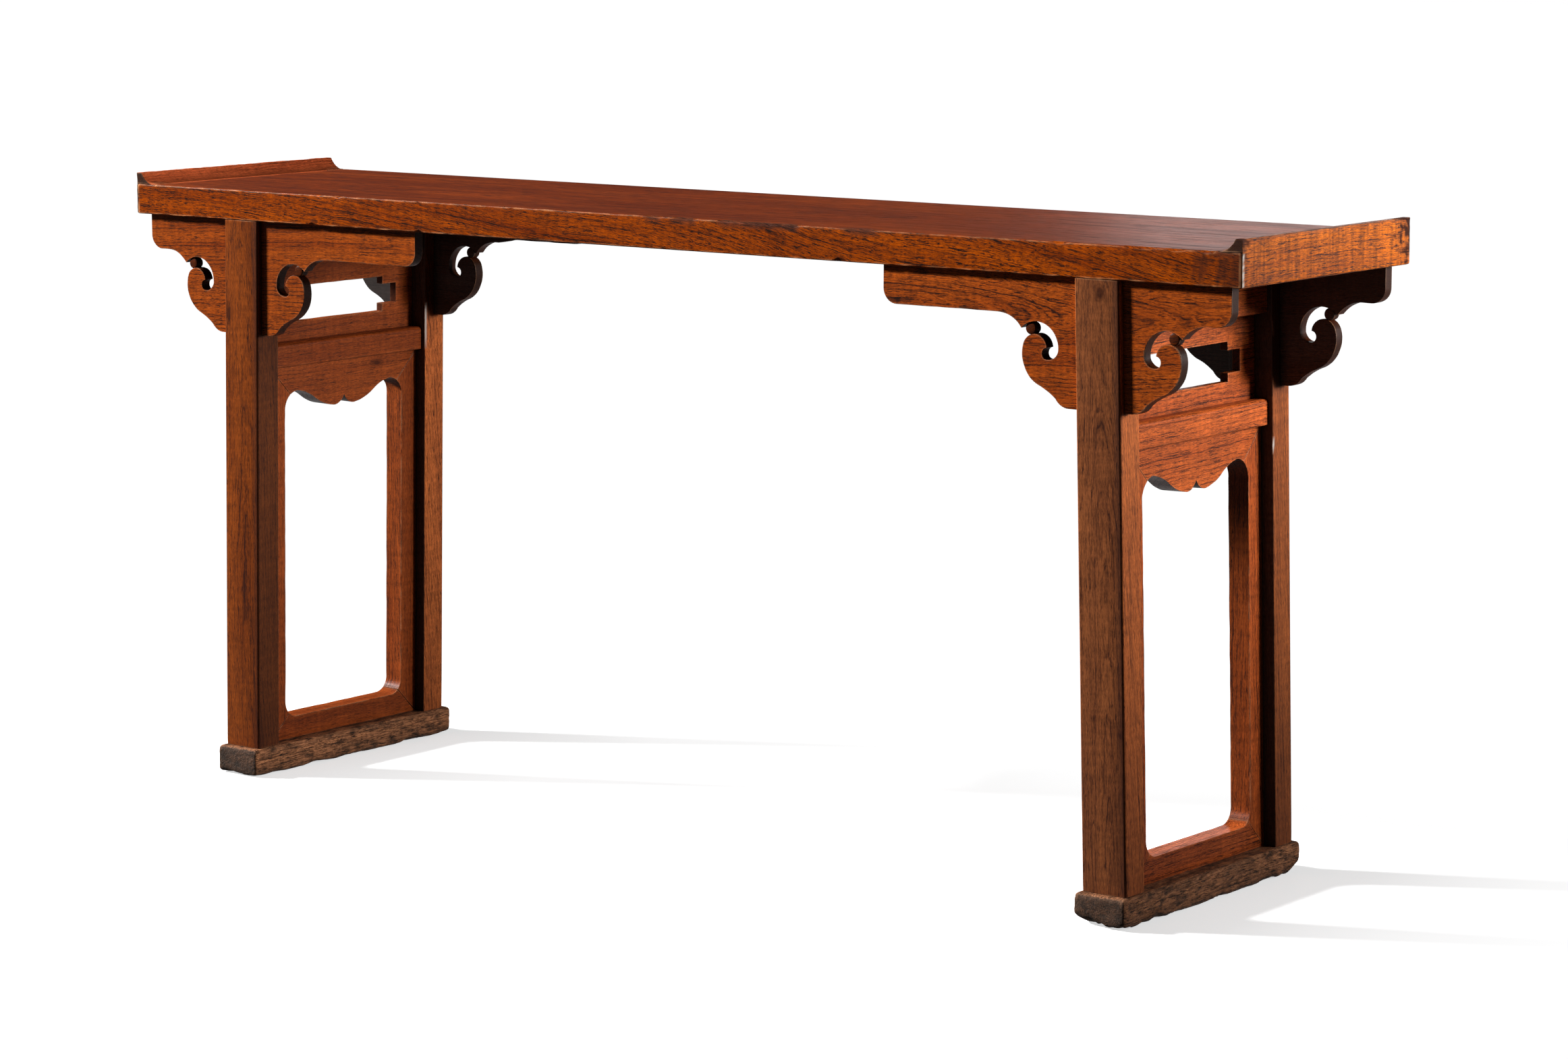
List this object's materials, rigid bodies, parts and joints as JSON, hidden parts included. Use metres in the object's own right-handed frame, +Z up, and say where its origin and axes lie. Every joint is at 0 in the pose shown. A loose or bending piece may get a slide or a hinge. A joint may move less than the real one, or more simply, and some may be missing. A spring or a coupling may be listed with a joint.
{
  "type": "trestle table",
  "caption": "Long recessed-leg trestle table with everted end flanges, pierced cloud-scroll spandrels at the leg heads and arched frames between splayed legs on shoe feet.",
  "frame": {"origin": "on the floor under the middle of the top", "axes": "+X along the top, +Y to the back, +Z up"},
  "size_m": [1.886, 0.42, 0.8665],
  "materials": {
    "plank_rosewood": "polished, worn arrises",
    "end_rosewood": "polished, worn arrises",
    "leg_rosewood": "polished",
    "spandrel_rosewood": "polished",
    "rail_rosewood": "polished",
    "weathered_foot": "bare, weathered and chipped"
  },
  "bodies": {
    "left_trestle": {"left_foot": "weathered_foot", "left_front_leg": "leg_rosewood", "left_back_leg": "leg_rosewood", "left_top_rail": "rail_rosewood", "left_middle_rail": "rail_rosewood", "left_openwork_panel": "rail_rosewood", "left_arch_apron": "rail_rosewood", "left_front_stile": "rail_rosewood", "left_back_stile": "rail_rosewood", "left_bottom_strip": "rail_rosewood", "left_front_spandrel": "spandrel_rosewood", "left_back_spandrel": "spandrel_rosewood"},
    "table_top": {"top_plank": "plank_rosewood", "left_end_piece": "end_rosewood", "right_end_piece": "end_rosewood"},
    "right_trestle": {"right_foot": "weathered_foot", "right_front_leg": "leg_rosewood", "right_back_leg": "leg_rosewood", "right_top_rail": "rail_rosewood", "right_middle_rail": "rail_rosewood", "right_openwork_panel": "rail_rosewood", "right_arch_apron": "rail_rosewood", "right_front_stile": "rail_rosewood", "right_back_stile": "rail_rosewood", "right_bottom_strip": "rail_rosewood", "right_front_spandrel": "spandrel_rosewood", "right_back_spandrel": "spandrel_rosewood"}
  },
  "joints": [
    {"name": "top_lift", "type": "slide", "parent": "left_trestle", "child": "table_top", "axis": [0, 0, 1], "range_m": [0, 0.03]},
    {"name": "right_trestle_release", "type": "slide", "parent": "table_top", "child": "right_trestle", "axis": [0, 0, -1], "range_m": [0, 0.03]}
  ],
  "couplings": [
    {"joint": "right_trestle_release", "follows": "top_lift", "ratio": 1}
  ]
}
